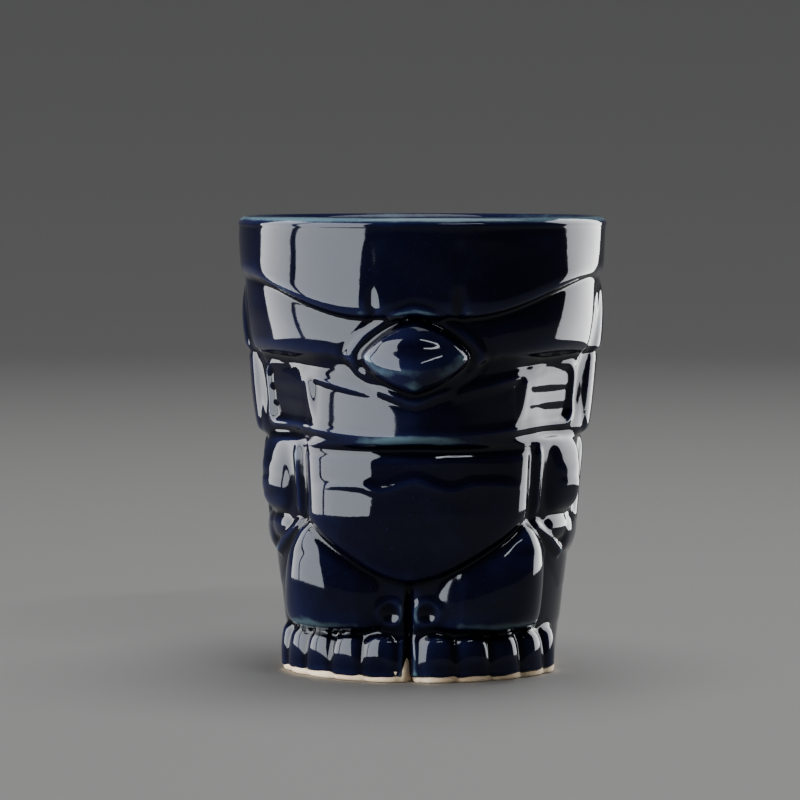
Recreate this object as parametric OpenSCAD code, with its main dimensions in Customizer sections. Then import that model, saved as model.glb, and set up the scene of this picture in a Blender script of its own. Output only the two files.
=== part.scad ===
// Slip-cast tiki mug: a squatting carved figure on a tapered cup, glazed cobalt over pale clay.
// The figure faces -Y. Angles round the mug are in degrees from its centre line, the same on
// both sides. The carved surface is one height field over a cone: every feature adds to it or
// cuts into it, and the mesh rows run along the carved lines of the face and the body.

/* [Cup] */
// Height from the table to the crest of the lip
mug_h = 112; // [100:1:124]
// Outer radius at the lip
mouth_r = 46; // [42:0.5:50]
// Outer radius at the foot
foot_r = 35.4; // [33:0.2:38]
// Rounding of the outside of the lip
lip_r = 2.4; // [2:0.1:3]
// Radius of the cavity where the side meets the floor
cavity_r = 27.5; // [26:0.5:28]
// Rounding between the cavity's side and its floor
cavity_round = 9; // [6:1:12]
// Thickness of the clay floor
floor_t = 7; // [5:0.5:9]
// Radius of the glazed recess inside the foot ring
recess_r = 27; // [22:0.5:28]
// Depth of that recess
recess_deep = 1.6; // [1:0.1:2]

/* [Glaze] */
// Thickness of the glaze coat
glaze_t = 0.5; // [0.3:0.05:0.7]
// Height of the bare clay left at the foot
bare_h = 1.2; // [1:0.1:2]

/* [Head] */
// Height of the brow on the centre line
brow_z = 88.3; // [87:0.1:90]
// How far the brow climbs towards the temples
brow_rise = 9; // [7:0.5:10]
// Angle of the groove on each side of the bridge
groove_at = 13.5; // [12:0.5:15]
// Depth of those grooves
groove_deep = 0.9; // [0.4:0.1:1.5]
// Height of the lower eyelid at its highest
eye_z = 82.5; // [81:0.1:83]
// How far the eyelid falls towards the nose
eye_fall = 5.4; // [4:0.1:6]
// Height of the middle of the nose
nose_z = 79; // [78.5:0.1:80]
// Half the width of the nose
nose_w = 12.8; // [11:0.2:14]
// Half the height of the nose
nose_h = 8.8; // [8:0.1:8.9]
// How far the nose stands out
nose_out = 4.8; // [3:0.1:5.5]
// Height of the upper lip on the centre line
mouth_top = 70; // [69:0.1:70.5]
// How far the upper lip climbs to the corners
mouth_rise = 5.8; // [4:0.1:6]
// Height of the lower lip on the centre line
mouth_low = 60; // [59.5:0.1:61]
// Angle of the corners of the mouth
mouth_half = 72; // [68:0.5:74]
// Height of the chin's lower edge
chin_z = 57.2; // [56.5:0.1:57.8]
// Depth of the corners of the mouth
corner_deep = 4.3; // [3:0.1:4.4]
// How far the jaw stands out in the middle
jaw_out = 3.2; // [2:0.1:3.4]
// How fast the jaw falls back to the sides
jaw_slope = 0.19; // [0.15:0.005:0.2]
// Height of the middle of the ear
ear_z = 77; // [76:0.5:78]
// How far the ear stands out
ear_out = 1.7; // [1:0.1:2]
// How far the head and the trunk are turned, in degrees
head_turn = 2.2; // [-3:0.1:3]

/* [Body] */
// Depth that the body is cut in behind its raised parts
body_cut = 2.3; // [1.8:0.1:2.4]
// Height of the wavy fold across the belly
belly_z = 48; // [47:0.1:49]
// Half the angle that the belly spans
belly_half = 44.5; // [42:0.5:46]
// Height of the fork between the legs
fork_z = 24.6; // [23.5:0.1:25.5]
// Angle of the top of the knee
knee_at = 43; // [41:1:45]
// How far the line between belly and leg climbs from the fork to the knee
knee_rise = 13.6; // [12:0.1:14]
// How far the knee stands out of the cut
leg_out = 4.6; // [3.5:0.1:5]
// How far the inner side of the leg sinks towards the slot
leg_in = 3.2; // [2.5:0.1:3.4]
// Height of the toes
toe_z = 11.6; // [11:0.1:12]
// How far the toes stand out at the sole
toe_out = 3.3; // [2.4:0.1:3.5]
// Angle of the big toe
toe_first = 11.4; // [11:0.1:12]
// Angle between one toe and the next
toe_pitch = 14.4; // [14:0.1:14.6]
// Depth of the slot between the legs
slot_deep = 1.7; // [1:0.1:1.8]
// Height of the middle of the fist
fist_z = 48.8; // [48:0.1:49.5]
// Angle of the middle of the fist
fist_at = 66.5; // [65:0.5:68]
// How far the fist stands out of the cut
fist_out = 3.1; // [2.2:0.1:3.5]
// How far the arm stands out of the cut
arm_out = 2.3; // [1.5:0.1:2.6]
// How far the feet are turned, in degrees
foot_turn = -1.2; // [-3:0.1:3]

/* [Hidden] */
$fn = 128;

edge_w = 1.7;            // width over which a carved step rises
front_step = 3.2;        // column spacing over the carved front and sides, degrees
front_end = 102;         // where the carved front gives way to the plain back, degrees
back_step = 13;          // column spacing over the back, degrees
rows_between = [3, 3, 3, 3, 1, 3, 2, 5, 3]; // rows between one carved line and the next
lip_steps = 4;           // rows round the outside of the lip
arc_steps = 6;           // points round a quarter circle of a revolved profile
cavity_sides = 72;       // flat sides of the cavity
foot_chamfer = 0.7;      // corner of the foot ring
seam_r = mouth_r - lip_r - 0.3; // radius where the outer coat meets the inner one
slot_half = 2;           // half the width of the slot between the legs, degrees
leg_middle = 0.3;        // how far up the leg stands out most, as a share of its height
leg_power = [1.1, 1.3];  // how square the leg is above and below that
leg_side = [38, 22];     // where the leg begins to fall back on the outside, and over how far
instep = 0.35;           // depth of the groove between the toes and the leg
toe_round = 2.2;         // how far the tops of the toes drop between one and the next
sole_gap = 0.55;         // share of the grooves' depth left at the sole
toe_wide_z = 2.5;        // height at which the toes are widest
foot_end = 76;           // angle at which the foot runs out
foot_side = [8, 14];     // degrees over which the foot rounds off at the slot and at its end
foot_t = 1.2;            // how far the foot stands out between the toes
temple = [48, 34, 0.7];  // where the bands of the head begin to flatten, over how far, how much
mouth_corner_r = 3.4;    // rounding of the corners of the mouth
corner_wall = 1.3;       // width of the wall round the floor of the mouth's corner
corner_at = 60;          // angle that the floor of the mouth's corner faces
corner_lean = 0.05;      // how far that floor leans out towards the top, per millimetre
lip_out = 0.75;          // height of the ridge along the lips
lip_low = 0.35;          // share of that height left on the centre line
lip_sunk = 0.75;         // depth of the bar of the mouth behind the lips
chin_out = 1.5;          // how far the chin overhangs
chin_h = 17;             // height over which that overhang dies away
chin_roll = [0.45, 3];   // how far the chin rolls under, and over what height
teeth_z = [71.4, 67, 62.6]; // heights of the rows of teeth
teeth_half = 1.3;        // half the height of a row of teeth
teeth_h = 0.18;          // how far the teeth stand out
cheek = [34, 10, 0.5];   // where the jaw steps back, over how far, and how deep
jaw_top = 82;            // height at which the jaw runs out under the eye
jaw_fade = 34;           // degrees over which the jaw runs out to the side
jaw_end = 84;            // angle at which the jaw runs out
keel = 1.8;              // half the width of the blunt edge down the middle of the jaw
brow_out = 1.7;          // how far the brow overhangs
brow_roll = [0.75, 3.2]; // how far the brow rolls under, and over what height
groove_half = 1.9;       // half the width of the grooves beside the bridge, degrees
groove_top = 97;         // height at which those grooves run out
fade = 8;                // height over which the long grooves run out
eye_lean = 0.9;          // how far the eye falls back towards its top
eye_low = 0.35;          // share of the eye's height left at the temples
nose_power = 1.38;       // 1 makes the nose a diamond, 2 an oval
nose_ridge = [0.5, 1.24, 0.12]; // height, place and width of the ridge round the nose
ear_groove = [0.7, 18, 3]; // depth, place and width of the groove in front of the ear
ear_hollow = [0.8, 7, 13]; // depth, half width and half height of the hollow of the ear
ear_at = [95, 14, 20];   // the ear's angle, half its angle and half its height
ear_lean = 0.3;          // degrees that the ear leans back for each millimetre up
belly_top = 55.5;        // height of the top of the belly
belly_out = 1.4;         // how far the belly swells below that
belly_side = 12;         // degrees over which the belly rounds off at the side
fold_out = [0.5, 0.7];   // how far the skin below the fold and the fold's edge stand out
fist_lean = [0.12, 0.14]; // how far the fist leans, per degree round and per millimetre down
fist_half = [12, 9.4];   // half the fist's angle and half its height
ridge_out = 1.6;         // how far the ridge beside the fist stands out
ridge_half = 1.8;        // half its width, degrees
ridge_at = 49.5;         // angle of the ridge between the belly and the fist
wrist_out = 2.1;         // how far the wrist stands out
wrist_half = [12, 3.6];  // half the wrist's angle and half its height
cuff_out = 2;            // how far the cuff stands out
cuff_half = 1.9;         // half the cuff's height
wrist_at = [66, 35.8];   // the middle of the wrist, an angle and a height
cuff = [[50, 37], [70, 30]]; // the ends of the cuff below the wrist
shoulder = [99, 52];     // the arm's joints, each an angle and a height
elbow = [95, 34];
wrist = [76, 34];
arm_half = 6;            // half the width of the upper arm
back_cut = 1.3;          // depth that the back is cut in below the head
back_fade = 18;          // degrees over which the carving gives way to the back
foot_flare = 0.8;        // how far the back flares out at the foot
wave_h = [0.09, 0.07, 0.05, 0.04]; // heights of the slow waves in the surface

// A smooth step from 0 to 1, a bell of width w, a blend of two heights and a half round
function limited(x) = min(max(x, 0), 1);
function ease(x) = let (t = limited(x)) t * t * (3 - 2 * t);
function bell(x, w) = exp(-pow(x / w, 2));
function blend(low, high, t) = low + (high - low) * t;
function dome(q) = q < 1 ? sqrt(1 - q * q) : 0;
function above(z, line, w = edge_w) = ease((z - line) / w + 0.5);

// Distance from a feature's middle, 1 at its outline: half sizes w and h, and a power that
// squares the outline off
function span(x, w, y, h, power) = pow(pow(abs(x) / w, power) + pow(abs(y) / h, power), 1 / power);

// Radius of the bare cone, and millimetres round it for an angle at that height
function cone_r(z) = foot_r + (mouth_r - foot_r) * z / mug_h;
function round_mm(angle, z) = angle * PI / 180 * cone_r(z);

// The larger of two heights, with the corner between them rounded over width w
function soft_max(a, b, w) =
    let (h = limited(0.5 + 0.5 * (a - b) / w))
    blend(b, a, h) + w * h * (1 - h);

// The carved lines, each a height over the angle s from the centre line, from the toes up. The
// eyelid dips under the nose but stays over the lip
function toe_line(s) = toe_z;
function leg_line(s) =
    let (u = s / knee_at,
        inner = fork_z + knee_rise * (0.3 * u + 0.7 * u * u),
        outer = max(fork_z + knee_rise - 0.5 * (s - knee_at), fork_z - 4))
    -soft_max(-inner, -outer, 4);
function belly_line(s) =
    belly_z - 1 + 2.4 * bell(s, 7) + 1.4 * ease((s - 12) / 8) - ease((s - 26) / 14);
function chin_line(s) = chin_z + 0.5 * bell(s, 9) + ease((s - 35) / 20);
function lower_lip(s) = mouth_low + 1.6 * ease((s - 10) / 45);
function upper_lip(s) = mouth_top + mouth_rise * limited((s - 12) / 43);
function eye_line(s) =
    let (lid = eye_z - eye_fall * pow(limited((52 - s) / 32), 1.3) - 2 * pow(limited((s - 52) / 28), 2),
        under_nose = nose_z - nose_h * dome(limited(round_mm(s, nose_z) / nose_w)))
    max(min(lid, under_nose), upper_lip(s) + 0.2);
function brow_line(s) = brow_z + brow_rise * ease((s - 16) / 52);

// Each band of the head is a drum: its wall stands nearly upright over the face, so it overhangs
// the next one down, and lies flatter towards the temples
function front_share(s) = 1 - temple[2] * ease((s - temple[0]) / temple[1]);

// Forehead: its lower edge rolls under, and a groove on each side marks off the bridge
function forehead(s, z) =
    let (over = z - brow_line(s),
        drum = brow_out * (1 - limited(over / (mug_h - lip_r - brow_line(s)))) * front_share(s),
        roll_under = brow_roll[0] * pow(limited(1 - over / brow_roll[1]), 2),
        groove = groove_deep * bell(s - groove_at, groove_half) * ease((groove_top - z) / fade))
    drum - roll_under - groove;

// Eye: a rolled band under the brow
function eye_band(s, z) =
    let (t = limited((z - eye_line(s)) / (brow_line(s) - eye_line(s))))
    (sin(180 * t) - eye_lean * t) * blend(eye_low, 1, front_share(s));

// Lower face: a blunt prow in the middle that falls back to both sides
function jaw_profile(s) =
    jaw_out - jaw_slope * (norm([round_mm(s, mouth_top), keel]) - keel)
        - cheek[2] * ease((s - cheek[0]) / cheek[1]);
function jaw_share(s) = ease((jaw_end - s) / jaw_fade);
function jaw(s, z) = jaw_profile(s) * jaw_share(s)
    * ease((z - chin_z + 2) / 4) * ease((jaw_top - z) / 7);

// Mouth: distance from its outline, less than 0 inside
function mouth_gap(s, z) =
    let (middle = (upper_lip(s) + lower_lip(s)) / 2,
        x = round_mm(s - mouth_half, middle) + mouth_corner_r,
        y = abs(z - middle) - (upper_lip(s) - lower_lip(s)) / 2 + mouth_corner_r)
    (x > 0 && y > 0 ? norm([x, y]) : max(x, y)) - mouth_corner_r;

// Floor of the mouth's sunk corner: nearly flat, leaning out towards the top, with the ends of
// the teeth across it
function teeth(s, z) =
    teeth_h * ease((s - 43) / 4) * max([for (h = teeth_z) bell(z - h, teeth_half)]);
function mouth_corner(s, z) =
    let (off = min(max(s - corner_at, -40), 20),
        bend = cone_r(z) * (1 / cos(off) - 1))
    bend - corner_deep - corner_lean * (mouth_top - z) + teeth(s, z);

// Lips: a wide bar with a low ridge along its outline, sunk at the corners
function mouth(s, z) =
    let (gap = mouth_gap(s, z),
        lips = lip_out * bell(gap, 1) * blend(lip_low, 1, ease((s - 10) / 28)),
        drum = chin_out * (1 - limited((z - chin_line(s)) / chin_h)) * front_share(s),
        roll_under = chin_roll[0] * pow(limited(1 - (z - chin_line(s)) / chin_roll[1]), 2),
        bar = lips + drum - roll_under - lip_sunk,
        bottom = soft_max(bar + jaw_profile(s) - 0.2, mouth_corner(s, z), 0.4),
        sunk = bar + jaw(s, z) - bottom)
    bar - sunk * ease(-(gap + 0.2) / corner_wall) * ease((s - 37) / 5);

// Nose: a rounded diamond with a low ridge round it
function nose(s, z) =
    let (x = round_mm(s, nose_z),
        gap = span(x, nose_w, z - nose_z, nose_h, nose_power),
        round_gap = span(x, nose_w, z - nose_z, nose_h, 2),
        q = blend(round_gap, gap, ease(gap / 0.9)))
    nose_out * pow(dome(limited(q)), 1.15) + nose_ridge[0] * bell(gap - nose_ridge[1], nose_ridge[2]);

// Ear: a long low lobe that leans back, hollowed down its middle, with a groove in front of it
function ear(s, z) =
    let (at = s - ear_at[0] - ear_lean * (z - ear_z),
        lobe = ear_out * dome(span(at, ear_at[1], z - ear_z, ear_at[2], 2.5)),
        groove = ear_groove[0] * bell(at + ear_groove[1], ear_groove[2])
            * ease((z - 60) / fade) * ease((98 - z) / fade),
        hollow = ear_hollow[0] * dome(span(at - 3, ear_hollow[1], z - ear_z, ear_hollow[2], 2.2)))
    lobe - groove - hollow;

// Trunk: upright from the groove under the chin, with a wavy fold, then rolling under to the crease
function belly(s, z) =
    let (upright = body_cut + belly_out * limited((belly_top - z) / 15),
        side = dome(limited((s - belly_half + belly_side) / belly_side) * 0.98),
        roll_h = max(5, 0.8 * (belly_z - 7 - leg_line(s))),
        under = dome(limited(1 - (z - leg_line(s) + 0.8) / roll_h)),
        fold = fold_out[0] * ease((belly_line(s) - z) / 1.8)
            + fold_out[1] * bell(z - belly_line(s) + 0.2, 0.9),
        neck = 0.55 + 0.45 * ease((56.2 - z) / 2.2))
    (upright + fold * ease((40 - s) / 12)) * side * under * neck - 3 * ease((leg_line(s) - z) / 2);

// Leg: a raised knee, broad and low, whose inner side rolls deep into the slot between the legs
function leg(s, z) =
    let (inner = 1 - pow(1 - limited((s - 1) / 19), 1.4),
        front = 1 - pow(1 - limited((s - 18) / 28), 2),
        outer = 1 - pow(limited((s - leg_side[0]) / leg_side[1]), 2.2),
        top = leg_line(s) + 1.2,
        low = toe_z - 0.2,
        middle = blend(low, top, leg_middle),
        t = pow(limited((z - middle) / (top - middle)), leg_power[0])
            + pow(limited((middle - z) / (middle - low)), leg_power[1]))
    (leg_in + leg_out) * dome(t) * (0.78 * inner + 0.22 * front) * outer
        - leg_in * ease((40 - s) / 30);

// Foot: toes parted by soft grooves that grow shallower towards the sole
function toes(s, z) =
    let (along = (s - toe_first) / toe_pitch,
        place = 2 * abs(along - round(along)),
        across = 1 - (1 - sqrt(1 - 0.96 * place * place)) * blend(sole_gap, 1, ease(z / 9)),
        top = toe_z + 0.2 - toe_round * place * place,
        tip = dome(limited((z - toe_wide_z) / (top - toe_wide_z))),
        end = dome(limited((s - foot_end + foot_side[1]) / foot_side[1])),
        inner = pow(dome(limited(1 - (s - 0.5) / foot_side[0])), 0.8))
    blend(foot_t, toe_out, across) * tip * end * inner;

// Fist, the ridge beside it, the wrist and the cuff below, and the arm behind
function limb(s, z, from, to, half) =
    let (p = [round_mm(s, z), z],
        a = [round_mm(from[0], from[1]), from[1]],
        b = [round_mm(to[0], to[1]), to[1]],
        t = limited((p - a) * (b - a) / ((b - a) * (b - a))))
    dome(norm(p - a - t * (b - a)) / half);
function fist(s, z) =
    let (lean = fist_lean[0] * (s - fist_at) - fist_lean[1] * (z - fist_z),
        hand = (fist_out + lean) * dome(span(s - fist_at, fist_half[0], z - fist_z, fist_half[1], 3.6)),
        ridge = ridge_out * bell(s - ridge_at, ridge_half) * ease((z - 38) / 4) * ease((58 - z) / 4),
        wrist_swell = wrist_out * dome(span(s - wrist_at[0], wrist_half[0],
            z - wrist_at[1], wrist_half[1], 2.2)))
    max(hand, ridge, wrist_swell, cuff_out * limb(s, z, cuff[0], cuff[1], cuff_half));
function arm(s, z) =
    arm_out * max(limb(s, z, shoulder, elbow, arm_half), limb(s, z, elbow, wrist, arm_half - 1));

// The figure below the chin, and its head
function low_part(s, z) =
    let (trunk = soft_max(leg(s, z), belly(s, z), 0.5),
        upper = soft_max(soft_max(trunk, fist(s, z), 0.5), arm(s, z), 0.5),
        slot = slot_deep * bell(s, slot_half) * ease((fork_z + 1 - z) / 4),
        groove = instep * bell(z - toe_z - 0.3, 0.9) * ease((foot_end - 4 - s) / 5))
    blend(toes(s, z), upper, above(z, toe_line(s))) - body_cut - slot - groove;
function head_part(s, z) =
    let (jowl = blend(mouth(s, z), -1, above(z, upper_lip(s) + 1.8)),
        lid = blend(jowl, eye_band(s, z), above(z, eye_line(s))),
        face = blend(lid, forehead(s, z), above(z, brow_line(s), 1.3)))
    face + jaw(s, z) + nose(s, z) + ear(s, z);

// The plain back: the head stands a little proud of the body
function back_part(z) = blend(-back_cut, 0, above(z, chin_z)) + foot_flare * ease((toe_z - z) / 5);

// Slow waves left by hand finishing, at a signed angle
function wobble(a, z) =
    let (deg = 180 / PI)
    wave_h[0] * sin(3 * a + 0.05 * deg * z) + wave_h[1] * sin(5 * a - 0.11 * deg * z + 75)
        + wave_h[2] * sin(2 * a + 0.23 * deg * z) + wave_h[3] * sin(9 * a + 0.31 * deg * z + 40);

// Height of the carving over the cone at a signed angle; it dies away into the round lip
function relief(a, z) =
    let (s = abs(a),
        front = blend(low_part(s, z), head_part(s, z), above(z, chin_line(s), 1.9)),
        carved = blend(front, back_part(z), ease((s - front_end) / back_fade)))
    (carved + wobble(a, z)) * ease((mug_h - lip_r - z) / 3);

// Columns round the mug, as signed angles, and the heights of the rows of one column
half_angles = concat([for (s = [front_step : front_step : front_end]) s],
    [for (s = [front_end + back_step : back_step : 179]) s]);
columns = concat([0], half_angles, [180],
    [for (k = [len(half_angles) - 1 : -1 : 0]) -half_angles[k]]);
function lines(s, low) = [low, toe_line(s), leg_line(s), belly_line(s), chin_line(s),
    lower_lip(s), upper_lip(s), eye_line(s), brow_line(s), mug_h - lip_r];
// The rows crowd towards the carved lines, where the surface turns fastest
function row_heights(s, low) =
    let (line = lines(s, low))
    concat([for (k = [0 : len(rows_between) - 1])
        for (row = [0 : rows_between[k]])
            blend(line[k], line[k + 1], (1 - cos(180 * row / (rows_between[k] + 1))) / 2)],
        [mug_h - lip_r]);

// The angle at which a column stands at a height: the figure twists between its feet and its belly
function turned(angle, z) = angle + blend(foot_turn, head_turn, ease((z - toe_z) / (belly_z - toe_z)));

// One column of the carved surface from the height low up and over the lip, set in by inset
function column(angle, low, inset) =
    let (s = abs(angle),
        side = [for (z = row_heights(s, low))
            [cone_r(z) + relief(angle, z) - inset, z, turned(angle, z)]],
        lip = [for (k = [1 : lip_steps])
            let (t = 90 * k / lip_steps)
            [mouth_r - lip_r + (lip_r - inset) * cos(t), mug_h - lip_r + (lip_r - inset) * sin(t),
                turned(angle, mug_h)]])
    [for (p = concat(side, lip)) [p[0] * sin(p[2]), -p[0] * cos(p[2]), p[1]]];
function skin(low, inset) = [for (angle = columns) column(angle, low, inset)];

// A closed solid from columns of points, each a loop of n points taken anticlockwise in section
module loops_solid(loops) {
    count = len(loops);
    n = len(loops[0]);
    polyhedron(
        points = [for (loop = loops, p = loop) p],
        faces = [for (i = [0 : count - 1], j = [0 : n - 1])
            let (a = i * n + j,
                b = i * n + (j + 1) % n,
                c = (i + 1) % count * n + (j + 1) % n,
                d = (i + 1) % count * n + j)
            each [[a, b, c], [a, c, d]]]);
}

// A closed solid from columns of points going up its side, flat at the bottom and the top
module columns_solid(cols) {
    count = len(cols);
    n = len(cols[0]);
    side = [for (i = [0 : count - 1], j = [0 : n - 2])
        let (a = i * n + j,
            d = (i + 1) % count * n + j)
        each [[a, a + 1, d + 1], [a, d + 1, d]]];
    polyhedron(
        points = [for (c = cols) each c],
        faces = concat(side,
            [[for (i = [count - 1 : -1 : 0]) i * n]],
            [[for (i = [0 : count - 1]) i * n + n - 1]]));
}

// The cast outside of the mug as a solid block, its foot chamfered
module cast_block() {
    columns_solid([for (c = skin(foot_chamfer, glaze_t))
        let (r = norm([c[0][0], c[0][1]]),
            t = (r - foot_chamfer) / r)
        concat([[c[0][0] * t, c[0][1] * t, 0]], c)]);
}

// Section of the cavity, set in by inset: the inside of the lip, the side, the floor's rounding
function cavity_section(inset) =
    let (crest = mug_h - glaze_t + inset,
        lip_in = lip_r - glaze_t + inset,
        side_r = seam_r - lip_in,
        floor_z = floor_t + inset,
        turn_r = cavity_r - inset - cavity_round)
    concat([[0, floor_z], [turn_r, floor_z]],
        [for (k = [1 : arc_steps])
            let (t = 90 * k / arc_steps)
            [turn_r + cavity_round * sin(t), floor_z + cavity_round * (1 - cos(t))]],
        [for (k = [0 : arc_steps])
            let (t = 90 * k / arc_steps)
            [side_r + lip_in * (1 - cos(t)), crest - lip_in * (1 - sin(t))]]);

// The cavity as a solid block: flat sides drawn round the true circle, so the liner just touches
module cavity_block() {
    section = cavity_section(0);
    side = concat([for (k = [1 : len(section) - 1]) section[k]], [[seam_r, mug_h + 1]]);
    around = 1 / cos(180 / cavity_sides);
    columns_solid([for (k = [0 : cavity_sides - 1])
        let (angle = 360 * (k + 0.5) / cavity_sides)
        [for (p = side) [p[0] * around * sin(angle), -p[0] * around * cos(angle), p[1]]]]);
}

// Cast clay: the carved outside, the cavity and the recess inside the foot ring
module clay_body() {
    color("burlywood") difference() {
        cast_block();
        cavity_block();
        translate([0, 0, -1]) cylinder(r = recess_r, h = 1 + recess_deep);
    }
}

// Cobalt glaze over the outside, from the bare foot to the crest of the lip
module outer_glaze() {
    outside = skin(bare_h, 0);
    inside = skin(bare_h, glaze_t);
    last = len(inside[0]) - 1;
    color("midnightblue") loops_solid([for (i = [0 : len(columns) - 1])
        concat([for (j = [last : -1 : 0]) inside[i][j]], outside[i])]);
}

// Glaze over the inside, from the seam on the lip to the middle of the floor
module inner_glaze() {
    color("midnightblue") rotate_extrude() difference() {
        polygon(concat(cavity_section(0), [[0, mug_h - glaze_t]]));
        polygon(concat(cavity_section(glaze_t), [[0, mug_h]]));
    }
}

// Glaze in the recess under the floor
module base_glaze() {
    color("midnightblue") translate([0, 0, recess_deep - glaze_t]) cylinder(r = recess_r, h = glaze_t);
}

clay_body();
outer_glaze();
inner_glaze();
base_glaze();
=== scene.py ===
"""Looks of a slip-cast tiki mug: cobalt glaze over pale clay, on a plain pale floor.

The outside is one carved surface: a height over a cone, worked out in millimetres from the
angle round the mug and the height above the floor. The figure faces -Y. The clay, the outer
coat of glaze, the liner inside and the glaze under the foot are separate pieces.
"""

import math

import bpy
import numpy as np
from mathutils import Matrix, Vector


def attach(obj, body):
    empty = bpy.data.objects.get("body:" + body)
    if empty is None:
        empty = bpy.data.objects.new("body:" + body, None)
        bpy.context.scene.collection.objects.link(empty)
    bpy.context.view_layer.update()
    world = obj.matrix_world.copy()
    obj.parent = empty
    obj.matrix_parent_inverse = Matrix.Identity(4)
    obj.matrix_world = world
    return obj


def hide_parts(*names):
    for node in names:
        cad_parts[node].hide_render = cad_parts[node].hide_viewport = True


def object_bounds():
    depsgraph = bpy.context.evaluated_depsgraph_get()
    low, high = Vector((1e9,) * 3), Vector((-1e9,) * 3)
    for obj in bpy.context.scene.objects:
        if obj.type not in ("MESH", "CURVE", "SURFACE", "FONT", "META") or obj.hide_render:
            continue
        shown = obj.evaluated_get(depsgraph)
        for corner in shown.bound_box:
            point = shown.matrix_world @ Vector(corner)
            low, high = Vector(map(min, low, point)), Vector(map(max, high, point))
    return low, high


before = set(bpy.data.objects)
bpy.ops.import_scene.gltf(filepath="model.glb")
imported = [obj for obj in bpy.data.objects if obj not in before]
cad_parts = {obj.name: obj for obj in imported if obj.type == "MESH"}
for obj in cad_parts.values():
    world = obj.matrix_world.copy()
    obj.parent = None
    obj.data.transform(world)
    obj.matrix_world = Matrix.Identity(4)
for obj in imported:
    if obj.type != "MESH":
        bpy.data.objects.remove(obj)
cad_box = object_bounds()

MM = 0.001

# ---------------------------------------------------------------- sizes, in millimetres
MUG_H = cad_box[1].z / MM
MOUTH_R = (cad_box[1].x - cad_box[0].x) / 2 / MM
FOOT_R = 0.77 * MOUTH_R
LIP_R = 2.4                 # rounding of the outside of the lip
GLAZE_T = 0.5               # thickness of the glaze
BARE_H = 1.2                # bare clay at the foot
FLOOR_Z = 7.0               # top of the clay floor
CAVITY_R = 27.5             # cavity radius above its rounding
CAVITY_ROUND = 9.0
RECESS_R = 27.0
RECESS_DEEP = 1.6

# ---------------------------------------------------------------- the figure's carved lines
BROW_Z, BROW_RISE, GROOVE_AT = 88.3, 9.0, 13.5
EYE_Z, EYE_FALL = 82.5, 5.4
NOSE_Z, NOSE_W, NOSE_H, NOSE_OUT = 79.0, 12.8, 8.8, 4.8
MOUTH_TOP, MOUTH_RISE, MOUTH_LOW, MOUTH_HALF = 70.0, 5.8, 60.0, 72.0
CORNER_AT, CORNER_DEEP, JAW_END = 60.0, 4.3, 84.0
CHIN_Z = 57.2
JAW_OUT, JAW_SLOPE = 3.2, 0.19
EAR_Z, EAR_OUT = 77.0, 1.7
BODY_CUT = 2.3
BELLY_Z, BELLY_HALF = 48.0, 44.5
FORK_Z, KNEE_AT, KNEE_RISE, LEG_IN, LEG_OUT = 24.6, 43.0, 13.6, 3.2, 4.6
TOE_Z, TOE_OUT, TOE_FIRST, TOE_PITCH, TOE_LAST = 11.6, 3.3, 11.4, 14.4, 76.0
SLOT_DEEP = 1.7
FIST_AT, FIST_Z, FIST_OUT = 66.5, 48.8, 3.1
SHOULDER, ELBOW, WRIST, ARM_HALF, ARM_OUT = (99, 52), (95, 34), (76, 34), 6.0, 2.3
BACK_FROM, BACK_FADE = 102.0, 18.0
FOOT_TURN, HEAD_TURN = -1.2, 2.2       # the two halves of the figure are not quite in line
EDGE, CHIN_EDGE, BROW_EDGE = 1.7, 1.9, 1.3  # widths over which the carved steps rise

# ---------------------------------------------------------------- how the carved parts are rounded
# Places and widths round the mug are in degrees, heights and depths in millimetres
TEMPLE_AT, TEMPLE_WIDE, TEMPLE_FLAT = 48, 34, 0.7      # where the head's bands lie flatter
BROW_OUT, BROW_ROLL, BROW_ROLL_H = 1.7, 0.75, 3.2      # the brow's overhang, rolled under
GROOVE_HALF, GROOVE_TOP, GROOVE_DEEP, GROOVE_FAINT = 1.3, 96.5, 0.8, 0.12  # beside the bridge
EYE_LEAN, EYE_LOW = 0.9, 0.35           # how far the eye falls back; its share at the temples
JAW_TOP, JAW_FADE, KEEL = 82, 34, 1.8                   # where the jaw runs out; its blunt edge
CHEEK_AT, CHEEK_WIDE, CHEEK_DEEP = 34, 10, 0.5          # where the jaw steps back
CHIN_OUT, CHIN_H, CHIN_ROLL, CHIN_ROLL_H = 1.5, 17, 0.45, 3  # the chin's overhang, rolled under
LIPS_OUT, LIPS_HALF, LIPS_LOW = 0.75, 0.9, 0.35        # the ridge along the lips
BAR_SUNK, MOUTH_ROUND, CORNER_WALL, CORNER_LEAN = 0.75, 3.4, 1.3, 0.05  # inside the lips
TEETH_Z, TEETH_HALF, TEETH_OUT = (71.4, 67.0, 62.6), 1.3, 0.18
NOSE_POWER = 1.38                       # 1 makes the nose a diamond, 2 an oval
NOSE_RINGS = (0.55, 1.24, 0.11), (-0.2, 1.07, 0.05), (-0.25, 1.44, 0.06)  # height, place, width
EAR_AT, EAR_HALF, EAR_TALL, EAR_LEAN = 95, 14, 20, 0.3  # leans by degrees per millimetre up
EAR_GROOVE, EAR_GROOVE_AT, EAR_GROOVE_HALF = 0.7, 18, 3
EAR_HOLLOW, EAR_HOLLOW_HALF, EAR_HOLLOW_TALL = 0.8, 7, 13
BELLY_TOP, BELLY_OUT, BELLY_SIDE = 55.5, 1.4, 12        # how the trunk swells and rounds off
FOLD_STEP, FOLD_EDGE = 0.5, 0.7         # the skin below the wavy fold, and the fold's own edge
LEG_SIDE, LEG_SIDE_WIDE, LEG_MIDDLE = 38, 22, 0.3       # where the leg falls back; its fullest place
LEG_UP_POWER, LEG_DOWN_POWER = 1.1, 1.3                 # how square it is above and below that
DENT_AT, DENT_Z, DENT_DEEP = 41, 31.5, 0.5              # a dent in each knee
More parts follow.
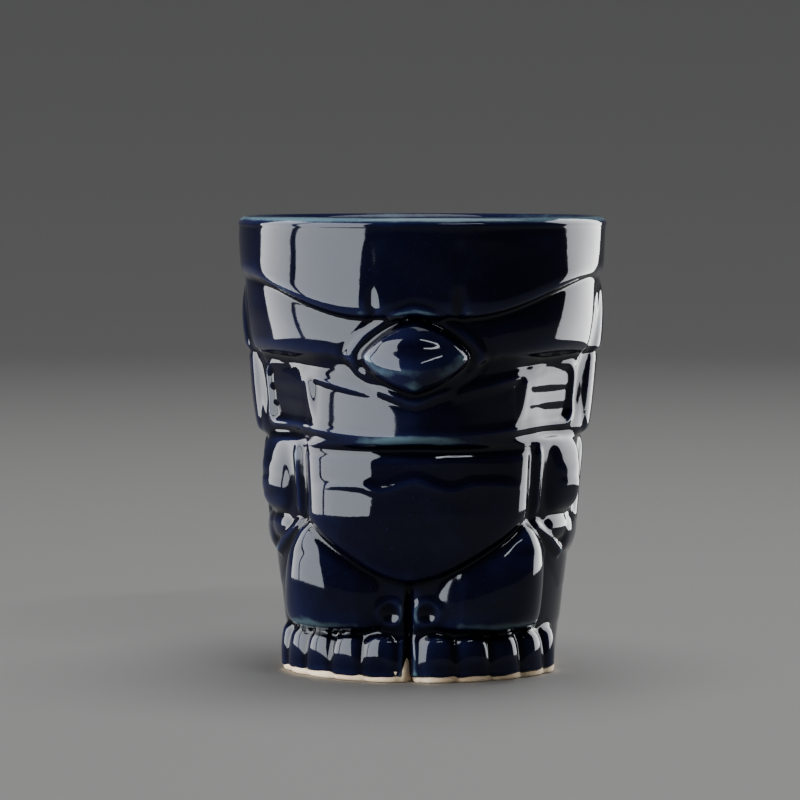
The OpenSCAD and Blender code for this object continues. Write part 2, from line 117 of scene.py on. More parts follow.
ANKLE_AT, ANKLE_Z, ANKLE_R = 7.2, 16.8, 3.0             # a ringed boss beside the slot
SLOT_HALF, INSTEP = 1.5, 0.35                           # between the legs; the groove over the toes
FOOT_T, FOOT_SIDE, FOOT_END = 1.2, 8, 14                # the foot between the toes, and its ends
TOE_ROUND, SOLE_GAP, TOE_WIDE_Z = 2.2, 0.55, 2.5        # the toes' drop, grooves and widest height
FIST_HALF, FIST_TALL, FIST_POWER = 12.0, 9.4, 3.6
FIST_LEAN, FIST_TIP = 0.12, 0.14        # lean of the fist per degree round and millimetre up
FINGER_Z, FINGER_GAP, FINGER_DEEP = (52.8, 48.6, 44.4), 0.8, 0.05
RIDGE_AT, RIDGE_HALF, RIDGE_OUT = 49.5, 1.5, 1.6        # between the belly and the fist
WRIST_AT, WRIST_Z, WRIST_HALF, WRIST_TALL, WRIST_OUT = 66, 35.8, 12, 3.6, 2.1
CUFF_INNER, CUFF_OUTER, CUFF_HALF, CUFF_OUT = (50, 37), (70, 30), 1.6, 2.0
BACK_CUT, FOOT_FLARE = 1.3, 0.8
# Slow waves in the surface: height, turns, radians for each millimetre up, and phase
WAVES = (0.09, 3, 0.05, 0), (0.07, 5, -0.11, 1.3), (0.05, 2, 0.23, 0), (0.04, 9, 0.31, 0.7)


def limited(x):
    return np.clip(x, 0, 1)


def ease(x):
    t = limited(x)
    return t * t * (3 - 2 * t)


def bell(x, width):
    return np.exp(-(x / width) ** 2)


def blend(low, high, t):
    return low + (high - low) * t


def dome(q):
    return np.sqrt(np.maximum(1 - q * q, 0))


def above(z, line, width=EDGE):
    return ease((z - line) / width + 0.5)


def span(x, w, y, h, power):
    """Distance from a feature's middle, 1 at its outline."""
    return (np.abs(x / w) ** power + np.abs(y / h) ** power) ** (1 / power)


def cone_r(z):
    return FOOT_R + (MOUTH_R - FOOT_R) * z / MUG_H


def round_mm(angle, z):
    return np.radians(angle) * cone_r(z)


def soft_max(a, b, width=0.5):
    """The larger of two heights, with the corner between them rounded."""
    h = limited(0.5 + 0.5 * (a - b) / width)
    return b + (a - b) * h + width * h * (1 - h)


# Carved lines: each a height over s, the angle from the figure's centre line
def leg_line(s):
    inner = FORK_Z + KNEE_RISE * (0.3 * s / KNEE_AT + 0.7 * (s / KNEE_AT) ** 2)
    outer = np.maximum(FORK_Z + KNEE_RISE - 0.5 * (s - KNEE_AT), FORK_Z - 4)
    return -soft_max(-inner, -outer, 4.0)


def belly_line(s):
    return BELLY_Z - 1 + 2.4 * bell(s, 7) + 1.4 * ease((s - 12) / 8) - ease((s - 26) / 14)


def chin_line(s):
    return CHIN_Z + 0.5 * bell(s, 9) + ease((s - 35) / 20)


def lower_lip(s):
    return MOUTH_LOW + 1.6 * ease((s - 10) / 45)


def upper_lip(s):
    return MOUTH_TOP + MOUTH_RISE * limited((s - 12) / 43)


def eye_line(s):
    lid = EYE_Z - EYE_FALL * limited((52 - s) / 32) ** 1.3 - 2 * limited((s - 52) / 28) ** 2
    under_nose = NOSE_Z - NOSE_H * dome(limited(round_mm(s, NOSE_Z) / NOSE_W))
    return np.minimum(lid, under_nose)


def brow_line(s):
    return BROW_Z + BROW_RISE * ease((s - 16) / 52)


# Bands of the head. Each is a drum: its wall stands nearly upright, so it overhangs the next.
def front_share(s):
    """1 over the face, falling towards the temples, where the bands lie flatter."""
    return 1 - TEMPLE_FLAT * ease((s - TEMPLE_AT) / TEMPLE_WIDE)


def forehead(s, z):
    """A drum rolled under at the brow, with a groove on each side of the bridge of the nose."""
    over = z - brow_line(s)
    drum = BROW_OUT * (1 - limited(over / (MUG_H - LIP_R - brow_line(s)))) * front_share(s)
    roll_under = BROW_ROLL * limited(1 - over / BROW_ROLL_H) ** 2
    depth = GROOVE_FAINT + GROOVE_DEEP * ease((GROOVE_TOP - z) / 7)
    groove = bell(s - GROOVE_AT, GROOVE_HALF) * depth * ease((MUG_H - 4 - z) / 5)
    return drum - roll_under - groove


def eye_band(s, z):
    t = limited((z - eye_line(s)) / (brow_line(s) - eye_line(s)))
    return (np.sin(math.pi * t) - EYE_LEAN * t) * blend(EYE_LOW, 1, front_share(s))


def mouth_gap(s, z):
    """Distance from the outline of the mouth, less than 0 inside."""
    middle = (upper_lip(s) + lower_lip(s)) / 2
    x = round_mm(s - MOUTH_HALF, middle) + MOUTH_ROUND
    y = np.abs(z - middle) - (upper_lip(s) - lower_lip(s)) / 2 + MOUTH_ROUND
    return np.where((x > 0) & (y > 0), np.hypot(x, y), np.maximum(x, y)) - MOUTH_ROUND


def jaw_profile(s):
    """The lower face comes to a blunt prow in the middle and falls back to both sides."""
    fall = JAW_SLOPE * (np.hypot(round_mm(s, MOUTH_TOP), KEEL) - KEEL)
    return JAW_OUT - fall - CHEEK_DEEP * ease((s - CHEEK_AT) / CHEEK_WIDE)


def jaw_share(s):
    return ease((JAW_END - s) / JAW_FADE)


def jaw(s, z):
    return jaw_profile(s) * jaw_share(s) * ease((z - CHIN_Z + 2) / 4) * ease((JAW_TOP - z) / 7)


def mouth_corner(s, z):
    """Floor of the sunk corner: nearly flat, leaning out towards the top, with the ends of the teeth."""
    off = np.radians(np.clip(s - CORNER_AT, -40, 20))
    bend = cone_r(z) * (1 / np.cos(off) - 1)
    teeth = TEETH_OUT * sum(bell(z - h, TEETH_HALF) for h in TEETH_Z) * ease((s - 43) / 4)
    return bend - CORNER_DEEP - CORNER_LEAN * (MOUTH_TOP - z) + teeth


def mouth(s, z):
    """A wide bar of lip over an overhanging chin, sunk at its corners."""
    gap = mouth_gap(s, z)
    over = z - chin_line(s)
    lips = LIPS_OUT * bell(gap, LIPS_HALF) * blend(LIPS_LOW, 1, ease((s - 10) / 28))
    drum = CHIN_OUT * (1 - limited(over / CHIN_H)) * front_share(s)
    roll_under = CHIN_ROLL * limited(1 - over / CHIN_ROLL_H) ** 2
    bar = drum + lips - roll_under - BAR_SUNK
    bottom = soft_max(bar + jaw_profile(s) - 0.2, mouth_corner(s, z), 0.4)
    sunk = bar + jaw(s, z) - bottom
    return bar - sunk * ease(-(gap + 0.2) / CORNER_WALL) * ease((s - 37) / 5)


def nose_gap(s, z):
    return span(round_mm(s, NOSE_Z), NOSE_W, z - NOSE_Z, NOSE_H, NOSE_POWER)


def nose_round(s, z):
    """The same distance, but round near the middle, so the nose has no ridges on top."""
    gap = nose_gap(s, z)
    return blend(span(round_mm(s, NOSE_Z), NOSE_W, z - NOSE_Z, NOSE_H, 2), gap, ease(gap / 0.9))


def nose(s, z):
    """A rounded diamond with a thin ridge round it, grooved on both sides."""
    gap = nose_gap(s, z)
    body = NOSE_OUT * dome(limited(nose_round(s, z))) ** 1.15
    return body + sum(height * bell(gap - at, width) for height, at, width in NOSE_RINGS)


def ear(s, z):
    """A long low ear that leans back, hollowed down its middle, with a groove in front of it."""
    at = s - EAR_AT - EAR_LEAN * (z - EAR_Z)
    lobe = EAR_OUT * dome(span(at, EAR_HALF, z - EAR_Z, EAR_TALL, 2.5))
    groove = EAR_GROOVE * bell(at + EAR_GROOVE_AT, EAR_GROOVE_HALF)
    groove = groove * ease((z - 60) / 8) * ease((98 - z) / 8)
    hollow = EAR_HOLLOW * dome(span(at - 3, EAR_HOLLOW_HALF, z - EAR_Z, EAR_HOLLOW_TALL, 2.2))
    return lobe - groove - hollow


# Parts of the body
def belly(s, z):
    """The trunk: upright from the groove under the chin, with a wavy fold, then rolling under."""
    upright = BODY_CUT + BELLY_OUT * limited((BELLY_TOP - z) / 15)
    side = dome(limited((s - BELLY_HALF + BELLY_SIDE) / BELLY_SIDE) * 0.98)
    roll_h = np.maximum(5, 0.8 * (BELLY_Z - 7 - leg_line(s)))
    under = dome(limited(1 - (z - leg_line(s) + 0.8) / roll_h))
    fold = FOLD_STEP * ease((belly_line(s) - z) / 1.8)
    fold = fold + FOLD_EDGE * bell(z - belly_line(s) + 0.2, 0.9)
    neck = 0.55 + 0.45 * ease((56.2 - z) / 2.2)
    trunk = (upright + fold * ease((40 - s) / 12)) * side * under * neck
    return trunk - 3 * ease((leg_line(s) - z) / 2)


def leg(s, z):
    """A raised knee, broad and low, whose inner side rolls deep into the slot between the legs."""
    inner = 1 - (1 - limited((s - 1) / 19)) ** 1.4
    front = 1 - (1 - limited((s - 18) / 28)) ** 2
    outer = 1 - limited((s - LEG_SIDE) / LEG_SIDE_WIDE) ** 2.2
    top, low = leg_line(s) + 1.2, TOE_Z - 0.2
    middle = blend(low, top, LEG_MIDDLE)
    rise = limited((z - middle) / (top - middle)) ** LEG_UP_POWER
    drop = limited((middle - z) / (middle - low)) ** LEG_DOWN_POWER
    ball = (LEG_IN + LEG_OUT) * dome(rise + drop) * (0.78 * inner + 0.22 * front) * outer
    dent = DENT_DEEP * bell(s - DENT_AT, 4) * bell(z - DENT_Z, 1.6)
    return ball - dent - LEG_IN * ease((40 - s) / 30)


def ankle(s, z):
    """A small ringed boss beside the slot."""
    q = np.hypot(round_mm(s - ANKLE_AT, 17), z - ANKLE_Z) / ANKLE_R
    return 0.6 * bell(q - 0.95, 0.3) - 0.35 * bell(q, 0.45)


def toes(s, z):
    """Toes parted by soft grooves that grow shallower towards the sole."""
    half = TOE_PITCH / 2
    place = np.abs((s - TOE_FIRST + half) % TOE_PITCH - half) / half
    across = 1 - (1 - np.sqrt(1 - 0.96 * place ** 2)) * blend(SOLE_GAP, 1, ease(z / 9))
    top = TOE_Z - TOE_ROUND * place ** 2
    end = dome(limited((s - TOE_LAST + FOOT_END) / FOOT_END))
    inner = dome(limited(1 - (s - 0.5) / FOOT_SIDE)) ** 0.8
    tip = dome(limited((z - TOE_WIDE_Z) / (top - TOE_WIDE_Z + 0.2)))
    return (FOOT_T + (TOE_OUT - FOOT_T) * across) * tip * end * inner


def fist(s, z):
    """A closed hand with soft grooves between the fingers, the ridge beside it and the wrist below."""
    at, up = s - FIST_AT, z - FIST_Z
    fingers = sum(bell(z - h, FINGER_GAP) for h in FINGER_Z) * ease((s - 58) / 6)
    lean = FIST_LEAN * at - FIST_TIP * up
    hand = (FIST_OUT + lean) * dome(span(at, FIST_HALF, up, FIST_TALL, FIST_POWER))
    hand = hand * (1 - FINGER_DEEP * fingers)
    ridge = RIDGE_OUT * bell(s - RIDGE_AT, RIDGE_HALF) * ease((z - 38) / 4) * ease((58 - z) / 4)
    wrist = WRIST_OUT * dome(span(s - WRIST_AT, WRIST_HALF, z - WRIST_Z, WRIST_TALL, 2.2))
    cuff = CUFF_OUT * limb(s, z, CUFF_INNER, CUFF_OUTER, CUFF_HALF)
    return np.maximum.reduce([hand, ridge, wrist, cuff])


def limb(s, z, start, end, half):
    """A half round along the line between two joints, each an angle and a height."""
    ax, ay = round_mm(*start), start[1]
    bx, by = round_mm(*end), end[1]
    px, py = round_mm(s, z), z
    along = (px - ax) * (bx - ax) + (py - ay) * (by - ay)
    t = limited(along / ((bx - ax) ** 2 + (by - ay) ** 2))
    return dome(np.hypot(px - ax - t * (bx - ax), py - ay - t * (by - ay)) / half)


def arm(s, z):
    upper = limb(s, z, SHOULDER, ELBOW, ARM_HALF)
    lower = limb(s, z, ELBOW, WRIST, ARM_HALF - 1)
    return ARM_OUT * np.maximum(upper, lower)


def low_part(s, z):
    trunk = soft_max(leg(s, z), belly(s, z))
    upper = soft_max(soft_max(trunk, fist(s, z)), arm(s, z)) + ankle(s, z)
    slot = SLOT_DEEP * bell(s, SLOT_HALF) * ease((FORK_Z + 1 - z) / 4)
    groove = INSTEP * bell(z - TOE_Z - 0.3, 0.9) * ease((72 - s) / 5)
    return blend(toes(s, z), upper, above(z, TOE_Z)) - BODY_CUT - slot - groove


def head_part(s, z):
    jowl = blend(mouth(s, z), -1.0, above(z, upper_lip(s) + 1.8))
    lid = blend(jowl, eye_band(s, z), above(z, eye_line(s)))
    face = blend(lid, forehead(s, z), above(z, brow_line(s), BROW_EDGE)) + jaw(s, z)
    return face + nose(s, z) + ear(s, z)


def back_part(z):
    return blend(-BACK_CUT, 0, above(z, CHIN_Z)) + FOOT_FLARE * ease((TOE_Z - z) / 5)


def wobble(a, z):
    """Slow waves left by hand finishing, at most a quarter of a millimetre."""
    t = np.radians(a)
    return sum(height * np.sin(turns * t + per_mm * z + phase) for height, turns, per_mm, phase in WAVES)


def relief(a, z):
    """Height of the carved surface over the cone."""
    s = np.abs(a)
    front = blend(low_part(s, z), head_part(s, z), above(z, chin_line(s), CHIN_EDGE))
    carved = blend(front, back_part(z), ease((s - BACK_FROM) / BACK_FADE))
    return (carved + wobble(a, z)) * ease((MUG_H - LIP_R - z) / 3)


def turned(a, z):
    """The angle at which a point of the figure stands, once its head is turned on its feet."""
    return a + blend(FOOT_TURN, HEAD_TURN, ease((z - TOE_Z) / (BELLY_Z - TOE_Z)))


# ---------------------------------------------------------------- the fine grid of the skin
COLUMNS = 440
SIDE_ROWS = 196
LIP_ROWS = 8
BACKING_ROWS = 14           # rows of the hidden inner face of the coat
SEAM_R = MOUTH_R - LIP_R - 0.3   # where the outer coat meets the liner
ARC_STEPS = 8               # parts of each quarter circle of a turned section
BLUR = 0.45, 0.4            # softening of the carved steps, across and up
BEAD_H, BEAD_OUT = 0.7, 0.12   # the roll of glaze at its lower edge
FOOT_ROW = 3                # row of the skin that the bare foot runs into
HIDDEN_GAP = 0.02           # between two hidden faces that back each other
# The glaze thins where the surface stands out from its own blur, fine and broad
FINE_BLUR, FINE_GAIN = 1.3, 0.9
BROAD_BLUR, BROAD_GAIN = 3.2, 0.06
WALL_THIN, PLAIN_THIN, HIDDEN_THIN = 0.45, 0.5, 0.6    # thinness of the glaze on plain surfaces
LIP_THIN, LIP_THIN_AT, LIP_THIN_HALF = 0.55, 0.6, 0.36  # how much more it thins round the lip
RIM_H, RIM_THIN, BASE_EDGE_THIN = 2.2, 0.82, 0.75       # where the liner and the base coat thin

angles = np.arange(COLUMNS) * 360 / COLUMNS - 180


def smooth(field, across, up):
    """Gaussian blur by millimetres across (the grid closes on itself) and up."""
    mm_across = 2 * math.pi * cone_r(MUG_H / 2) / COLUMNS
    mm_up = MUG_H / SIDE_ROWS
    for axis, size, step in ((1, across, mm_across), (0, up, mm_up)):
        reach = max(1, int(3 * size / step))
        weights = [math.exp(-0.5 * (k * step / size) ** 2) for k in range(-reach, reach + 1)]
        pad = [(0, 0), (0, 0)]
        pad[axis] = (reach, reach)
        wide = np.pad(field, pad, mode="wrap" if axis == 1 else "edge")
        length = field.shape[axis]
        parts = [w * np.take(wide, range(k, k + length), axis=axis) for k, w in enumerate(weights)]
        field = sum(parts) / sum(weights)
    return field


def glaze_edge(a):
    """Height at which the glaze stops above the bare foot, a little uneven."""
    t = np.radians(a)
    return BARE_H + 0.14 * np.sin(7 * t + 0.4) + 0.1 * np.sin(17 * t) + 0.06 * np.sin(41 * t + 2)


def carved_skin():
    """Radius, height and standing angle of the glazed side, rows from the foot up."""
    up = np.linspace(0, 1, SIDE_ROWS)[:, None]
    low = glaze_edge(angles)[None, :]
    z = low + up * (MUG_H - LIP_R - low)
    a = np.broadcast_to(angles[None, :], z.shape)
    height = smooth(relief(a, z), *BLUR)
    above_edge = z - low
    roll_under = GLAZE_T * (1 - np.sqrt(1 - np.square(1 - limited(above_edge / BEAD_H)) * 0.98))
    height = height - roll_under + BEAD_OUT * bell(above_edge - BEAD_H, 0.5)
    return cone_r(z) + height, z, turned(a, z), height


def thinness(height):
    """Near 0 where glaze pools in a hollow, near 1 where it thins on a crest."""
    fine = height - smooth(height, FINE_BLUR, FINE_BLUR)
    broad = height - smooth(height, BROAD_BLUR, BROAD_BLUR)
    return limited(WALL_THIN + FINE_GAIN * fine + BROAD_GAIN * broad)


def ring_points(radius, z, angle):
    """Points at a radius, a height and angles from the figure's front."""
    t = np.radians(angle)
    return np.stack([radius * np.sin(t), -radius * np.cos(t), z + 0 * t], axis=-1)


def lip_rows(inset):
    """Rings from the outside of the lip up to its crest."""
    rows = []
    for k in range(1, LIP_ROWS + 1):
        t = math.pi / 2 * k / LIP_ROWS
        radius = MOUTH_R - LIP_R + (LIP_R - inset) * math.cos(t)
        z = MUG_H - LIP_R + (LIP_R - inset) * math.sin(t)
        rows.append(ring_points(np.full(COLUMNS, radius), z, turned(angles, MUG_H)))
    return rows


def make_piece(name, rows, closed, node, material, attribute=None):
    """A mesh from rings of points, joined ring to ring; closed joins the last ring to the first.

    attribute is a value per point for the material to read.
    """
    rows = [np.asarray(r) for r in rows]
    count = len(rows[0])
    verts = np.concatenate(rows) * MM
    faces = []
    last = len(rows) if closed else len(rows) - 1
    base = np.arange(count)
    following = (base + 1) % count
    for i in range(last):
        j = (i + 1) % len(rows)
        faces.append(np.stack([i * count + base, i * count + following,
                               j * count + following, j * count + base], axis=1))
    faces = np.concatenate(faces).tolist()
    if not closed:
        faces.append(list(range(count))[::-1])
        faces.append([(len(rows) - 1) * count + k for k in range(count)])
    mesh = bpy.data.meshes.new(name)
    mesh.from_pydata(verts.tolist(), [], faces)
    mesh.validate()
    mesh.polygons.foreach_set("use_smooth", [True] * len(mesh.polygons))
    mesh.set_sharp_from_angle(angle=math.radians(55))
    if attribute is not None:
        layer = mesh.attributes.new("thin", "FLOAT", "POINT")
        layer.data.foreach_set("value", np.concatenate(attribute).astype(np.float32))
    piece = bpy.data.objects.new(name, mesh)
    bpy.context.scene.collection.objects.link(piece)
    mesh.materials.append(material)
    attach(piece, "root")
    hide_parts(node)
    return piece


# ---------------------------------------------------------------- materials
def new_material(name):
    material = bpy.data.materials.new(name)
    material.use_nodes = True
    tree = material.node_tree
    shader = tree.nodes["Principled BSDF"]
    where = tree.nodes.new("ShaderNodeTexCoord").outputs["Object"]
    return material, tree, shader, where


def noise(tree, where, size_mm, detail=3.0, distortion=0.0):
    """Noise whose grain is about size_mm across."""
    node = tree.nodes.new("ShaderNodeTexNoise")
    node.inputs["Scale"].default_value = 1 / (size_mm * MM)
    node.inputs["Detail"].default_value = detail
    node.inputs["Distortion"].default_value = distortion
    tree.links.new(where, node.inputs["Vector"])
    return node.outputs["Fac"]


def ramp(tree, value, stops):
    node = tree.nodes.new("ShaderNodeValToRGB")
    bar = node.color_ramp
    while len(bar.elements) < len(stops):
        bar.elements.new(0.5)
    for element, (place, colour) in zip(bar.elements, stops):
        element.position = place
        element.color = (*colour, 1)
    tree.links.new(value, node.inputs["Fac"])
    return node.outputs["Color"]


def speckled(tree, amount, colour, speck):
    """The colour, going over to a speck's fixed colour as the amount rises."""
    node = tree.nodes.new("ShaderNodeMix")
    node.data_type = "RGBA"
    tree.links.new(amount, node.inputs[0])
    tree.links.new(colour, node.inputs[6])
    node.inputs[7].default_value = (*speck, 1)
    return node.outputs[2]


def math_node(tree, operation, a, b=0.0, c=0.0):
    node = tree.nodes.new("ShaderNodeMath")
    node.operation = operation
    for value, socket in zip((a, b, c), node.inputs):
        if isinstance(value, (int, float)):
            socket.default_value = value
        else:
            tree.links.new(value, socket)
    return node.outputs[0]


def map_range(tree, value, from_low, from_high, to_low, to_high):
    node = tree.nodes.new("ShaderNodeMapRange")
    ends = {"From Min": from_low, "From Max": from_high, "To Min": to_low, "To Max": to_high}
    for name, number in ends.items():
        node.inputs[name].default_value = number
    tree.links.new(value, node.inputs["Value"])
    return node.outputs["Result"]


def bump(tree, height, depth_mm):
    node = tree.nodes.new("ShaderNodeBump")
    node.inputs["Distance"].default_value = depth_mm * MM
    tree.links.new(height, node.inputs["Height"])
    return node


# Glaze colours, from the thickest to the thinnest, and the flecks in it
POOLED = (0.0004, 0.0005, 0.0018)
COBALT = (0.0010, 0.0011, 0.0056)
LIVELY = (0.0034, 0.0044, 0.0200)
BROKEN = (0.045, 0.078, 0.100)
FLECK = (0.004, 0.008, 0.038)
# Grain of each pattern
CLOUD_MM, GRAIN_MM, FLECK_MM, PEEL_MM, SKIN_MM = 16, 1.6, 0.55, 5.5, 1.1
GRAIN_SPREAD = 0.12

CLAY_TAN, CLAY_BUFF, CLAY_CREAM = (0.42, 0.31, 0.19), (0.60, 0.48, 0.33), (0.70, 0.60, 0.45)
CLAY_SPECK = (0.26, 0.17, 0.10)
PATCH_MM, GRIT_MM = 9, 0.35
FLOOR_COLOUR = (0.52, 0.515, 0.506, 1)


def glaze_material(name, spread):
    """Cobalt glaze: dark where it pools, brighter blue where it thins, pale on sharp crests."""
    material, tree, shader, where = new_material(name)
    attribute = tree.nodes.new("ShaderNodeAttribute")
    attribute.attribute_name = "thin"
    thin = attribute.outputs["Fac"]
    clouds = noise(tree, where, CLOUD_MM, 4, 0.6)
    grain = noise(tree, where, GRAIN_MM, 3)
    shifted = math_node(tree, "MULTIPLY_ADD", clouds, spread, thin)
    shifted = math_node(tree, "MULTIPLY_ADD", grain, GRAIN_SPREAD, shifted)
    level = math_node(tree, "SUBTRACT", shifted, (spread + GRAIN_SPREAD) / 2)
    colour = ramp(tree, level, [(0.10, POOLED), (0.48, COBALT), (0.82, LIVELY), (1.0, BROKEN)])
    flecks = map_range(tree, noise(tree, where, FLECK_MM, 1), 0.68, 0.8, 0, 0.55)
    tree.links.new(speckled(tree, flecks, colour, FLECK), shader.inputs["Base Color"])
    rough = map_range(tree, clouds, 0.3, 0.7, 0.035, 0.075)
    tree.links.new(rough, shader.inputs["Roughness"])
    shader.inputs["IOR"].default_value = 1.52
    shader.inputs["Specular IOR Level"].default_value = 0.26
    shader.inputs["Specular Tint"].default_value = (0.84, 0.91, 1.0, 1)
    peel = bump(tree, noise(tree, where, PEEL_MM, 2), 0.035)
    fine = bump(tree, noise(tree, where, SKIN_MM, 1), 0.003)
    tree.links.new(peel.outputs["Normal"], fine.inputs["Normal"])
    tree.links.new(fine.outputs["Normal"], shader.inputs["Normal"])
    return material


def clay_material():
    """Fired clay left bare: cream to tan, matt and gritty."""
    material, tree, shader, where = new_material("bare_clay")
    patches = noise(tree, where, PATCH_MM, 4)
    colour = ramp(tree, patches, [(0.3, CLAY_TAN), (0.55, CLAY_BUFF), (0.8, CLAY_CREAM)])
    grit = noise(tree, where, GRIT_MM, 2)
    dark = map_range(tree, grit, 0.62, 0.75, 0, 0.6)
    tree.links.new(speckled(tree, dark, colour, CLAY_SPECK), shader.inputs["Base Color"])
    tree.links.new(map_range(tree, patches, 0, 1, 0.78, 0.95), shader.inputs["Roughness"])
    tree.links.new(bump(tree, grit, 0.12).outputs["Normal"], shader.inputs["Normal"])
    return material


# ---------------------------------------------------------------- pieces
def revolved(profile):
    """Rings of a revolved section, given as (radius, height) points."""
    return [ring_points(np.full(COLUMNS, r), z, angles) for r, z in profile]


def cavity_profile(inset):
    """Section of the cavity from near the axis out along the floor and up to the seam."""
    crest = MUG_H - GLAZE_T + inset
    lip_in = LIP_R - GLAZE_T + inset
    side_r = SEAM_R - lip_in
    floor_z = FLOOR_Z + inset
    turn_r = CAVITY_R - inset - CAVITY_ROUND
    section = [(0.4, floor_z), (turn_r * 0.5, floor_z)]
    quarter = [math.pi / 2 * k / ARC_STEPS for k in range(ARC_STEPS + 1)]
    for t in quarter:
        section.append((turn_r + CAVITY_ROUND * math.sin(t), floor_z + CAVITY_ROUND * (1 - math.cos(t))))
    for t in quarter:
        section.append((side_r + lip_in * (1 - math.cos(t)), crest - lip_in * (1 - math.sin(t))))
    return section


def build_outer_glaze(radius, z, standing, height, material):
    side = [ring_points(radius[i], z[i], standing[i]) for i in range(SIDE_ROWS)]
    thin = list(thinness(height))
    for k in range(1, LIP_ROWS + 1):
        thinner = LIP_THIN * bell(k / LIP_ROWS - LIP_THIN_AT, LIP_THIN_HALF)
        thin.append(np.full(COLUMNS, PLAIN_THIN + thinner))
    seam = ring_points(np.full(COLUMNS, SEAM_R), MUG_H, turned(angles, MUG_H))
    seam_low = seam - np.array([0, 0, GLAZE_T])
    rows = side + lip_rows(0) + [seam, seam_low] + backing(radius, z, standing)[::-1]
    while len(thin) < len(rows):
        thin.append(np.full(COLUMNS, HIDDEN_THIN))
    return make_piece("outer_coat", rows, True, "outer_glaze", material, thin)


def backing(radius, z, standing):
    """Hidden rings just under the glazed side, never outside it."""
    rows = []
    picks = np.linspace(0, SIDE_ROWS - 1, BACKING_ROWS).astype(int)
    for n, i in enumerate(picks):
        low = i if n == 0 else picks[n - 1]
        high = i if n == 0 else picks[min(n + 1, BACKING_ROWS - 1)]
        inner = radius[low:high + 1].min(axis=0) - GLAZE_T
        rows.append(ring_points(inner, z[i], standing[i]))
    return rows


def build_clay(radius, z, standing, material):
    edge = radius[FOOT_ROW] - GLAZE_T * 0.7
    recess = revolved([(0.4, RECESS_DEEP), (RECESS_R, RECESS_DEEP),
                       (RECESS_R + 0.15, 0.3), (RECESS_R + 0.5, 0.0)])
    foot = [ring_points(edge - inset, h, angles) for h, inset in
            ((0.0, 0.75), (0.12, 0.3), (0.45, 0.05), (0.9, 0.0))]
    foot.append(ring_points(edge, z[FOOT_ROW], angles))
    side = backing(radius, z, standing)[1:-1]
    lip = [ring - np.array([0, 0, HIDDEN_GAP]) for ring in lip_rows(GLAZE_T)]
    inside = revolved(cavity_profile(0))[::-1]
    rows = recess + foot + side + lip + inside
    return make_piece("cast_clay", rows, False, "clay_body", material)


def build_inner_glaze(material):
    wet = revolved(cavity_profile(GLAZE_T))
    dry = revolved(cavity_profile(HIDDEN_GAP))
    rows = wet + dry[::-1]
    thin = [np.full(COLUMNS, PLAIN_THIN if ring[0, 2] < MUG_H - RIM_H else RIM_THIN) for ring in rows]
    return make_piece("liner_coat", rows, True, "inner_glaze", material, thin)


def build_base_glaze(material):
    top, bottom = RECESS_DEEP - 0.01, RECESS_DEEP - GLAZE_T
    edge = RECESS_R - 0.2
    profile = [(0.4, bottom), (20, bottom), (edge - 1.6, RECESS_DEEP - GLAZE_T * 0.95),
               (edge - 0.5, RECESS_DEEP - GLAZE_T * 0.7), (edge, RECESS_DEEP - GLAZE_T * 0.15),
               (edge, top), (0.4, top)]
    rows = revolved(profile[::-1])
    thin = [np.full(COLUMNS, BASE_EDGE_THIN if ring[0, 0] > edge - 1.8 else PLAIN_THIN) for ring in rows]
    return make_piece("base_coat", rows, True, "base_glaze", material, thin)


# ---------------------------------------------------------------- camera, floor and lights
CAMERA_AZIMUTH, CAMERA_DISTANCE, CAMERA_HEIGHT = 4.5, 0.886, 0.123
CAMERA_PITCH, CAMERA_YAW, CAMERA_LENS = 3.68, 0.36, 160.3

# Panels that the glaze reflects: from and to in degrees off the camera, and the brightness
WINDOWS = {"window_wide": (-34, -78.5, 11.5), "window_narrow": (-82.5, -113, 10),
           "window_right": (94.5, 142, 9)}
WINDOW_AWAY, WINDOW_TOP = 0.32, 0.38
LAMP_AIM = (0, 0, 0.06)
SKY = (0.62, 0.66, 0.72, 1)


def around(azimuth, distance, z):
    """A place at an azimuth from the figure's front, positive towards +X."""
    t = math.radians(azimuth)
    return (distance * math.sin(t), -distance * math.cos(t), z)


def build_camera():
    data = bpy.data.cameras.new("camera")
    data.lens = CAMERA_LENS
    data.sensor_width = 36
    camera = bpy.data.objects.new("camera", data)
    camera.location = around(CAMERA_AZIMUTH, CAMERA_DISTANCE, CAMERA_HEIGHT)
    turn = math.radians(CAMERA_AZIMUTH + CAMERA_YAW)
    camera.rotation_euler = (math.radians(90 - CAMERA_PITCH), 0, turn)
    bpy.context.scene.collection.objects.link(camera)
    bpy.context.scene.camera = camera


def build_floor():
    """A pale round floor that curves up into a low wall on every side."""
    floor_r, turn, wall_h, sides = 1.5, 0.9, 2.2, 96
    quarter = [math.pi / 2 * k / 24 for k in range(1, 25)]
    section = [(0.6, 0.0), (floor_r, 0.0)]
    section += [(floor_r + turn * math.sin(t), turn * (1 - math.cos(t))) for t in quarter]
    section.append((floor_r + turn, wall_h))
    turns = [2 * math.pi * k / sides for k in range(sides)]
    verts = [(r * math.cos(t), r * math.sin(t), z) for r, z in section for t in turns]
    faces = [tuple(range(sides))]
    for ring in range(len(section) - 1):
        for k in range(sides):
            low, high = ring * sides, (ring + 1) * sides
            faces.append((low + k, high + k, high + (k + 1) % sides, low + (k + 1) % sides))
    mesh = bpy.data.meshes.new("floor")
    mesh.from_pydata(verts, [], faces)
    mesh.polygons.foreach_set("use_smooth", [True] * len(mesh.polygons))
    floor = bpy.data.objects.new("floor", mesh)
    bpy.context.scene.collection.objects.link(floor)
    material, _, shader, _ = new_material("pale_floor")
    shader.inputs["Base Color"].default_value = FLOOR_COLOUR
    shader.inputs["Roughness"].default_value = 0.6
    mesh.materials.append(material)


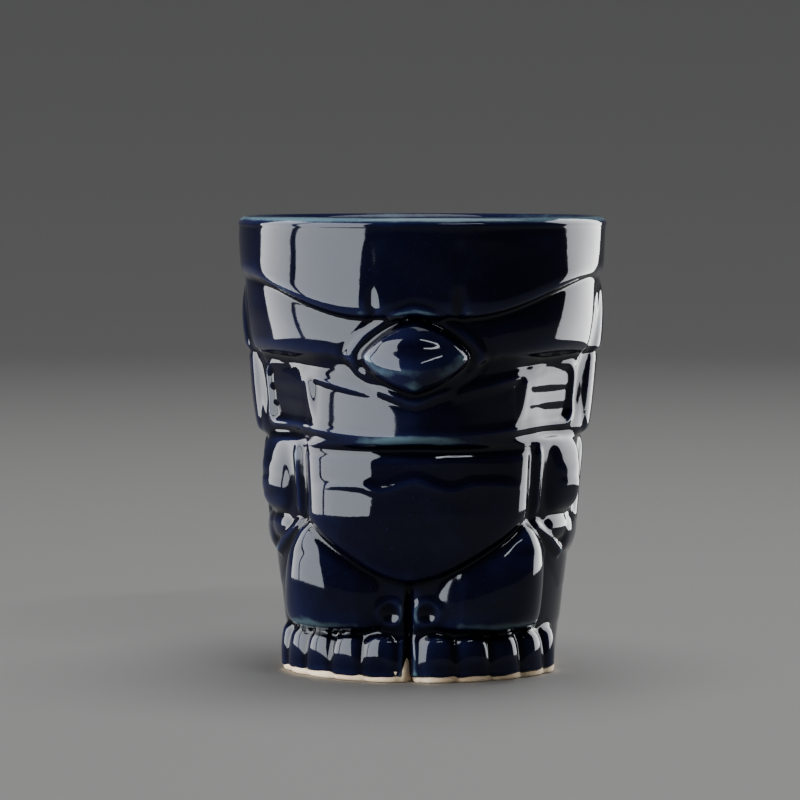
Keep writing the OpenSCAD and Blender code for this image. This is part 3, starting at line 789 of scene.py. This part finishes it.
def window(name, start, end, radiance):
    """A softbox standing on the floor between two azimuths from the camera's direction."""
    a = np.array(around(CAMERA_AZIMUTH + start, WINDOW_AWAY, 0))
    b = np.array(around(CAMERA_AZIMUTH + end, WINDOW_AWAY, 0))
    centre = (a + b) / 2
    data = bpy.data.lights.new(name, "AREA")
    data.shape = "RECTANGLE"
    data.size = float(np.linalg.norm(b - a))
    data.size_y = WINDOW_TOP
    data.energy = radiance * math.pi * data.size * data.size_y
    lamp = bpy.data.objects.new(name, data)
    lamp.location = (centre[0], centre[1], WINDOW_TOP / 2)
    lamp.rotation_euler = (math.radians(90), 0, math.atan2(centre[0], -centre[1]))
    lamp.visible_camera = False
    bpy.context.scene.collection.objects.link(lamp)
    return lamp


def overhead(name, location, size_x, size_y, radiance):
    """A soft light that looks down at the mug."""
    data = bpy.data.lights.new(name, "AREA")
    data.shape = "RECTANGLE"
    data.size, data.size_y = size_x, size_y
    data.energy = radiance * math.pi * size_x * size_y
    lamp = bpy.data.objects.new(name, data)
    lamp.location = location
    away = lamp.location - type(lamp.location)(LAMP_AIM)
    lamp.rotation_euler = away.to_track_quat("Z", "Y").to_euler()
    bpy.context.scene.collection.objects.link(lamp)


def build_lights():
    """Makes every light and returns the windows."""
    windows = [window(name, *place) for name, place in WINDOWS.items()]
    overhead("ceiling", (0.1, 0.2, 1.4), 1.0, 1.0, 3.2)
    overhead("strip", around(CAMERA_AZIMUTH + 28, 0.85, 0.9), 0.5, 0.05, 22)
    world = bpy.data.worlds.new("studio")
    world.use_nodes = True
    world.node_tree.nodes["Background"].inputs["Color"].default_value = SKY
    world.node_tree.nodes["Background"].inputs["Strength"].default_value = 0.12
    bpy.context.scene.world = world
    return windows


def light_only(lamps, pieces):
    """Keep the near windows off the floor, which they would light in a patch with a hard end."""
    lit = bpy.data.collections.new("lit_by_windows")
    for piece in pieces:
        lit.objects.link(piece)
    for lamp in lamps:
        lamp.light_linking.receiver_collection = lit


build_camera()
build_floor()
windows = build_lights()

outer_material = glaze_material("cobalt_glaze_outside", 0.5)
inner_material = glaze_material("cobalt_glaze_inside", 0.35)
skin_radius, skin_z, skin_angle, skin_height = carved_skin()
light_only(windows, [
    build_outer_glaze(skin_radius, skin_z, skin_angle, skin_height, outer_material),
    build_clay(skin_radius, skin_z, skin_angle, clay_material()),
    build_inner_glaze(inner_material),
    build_base_glaze(inner_material),
])
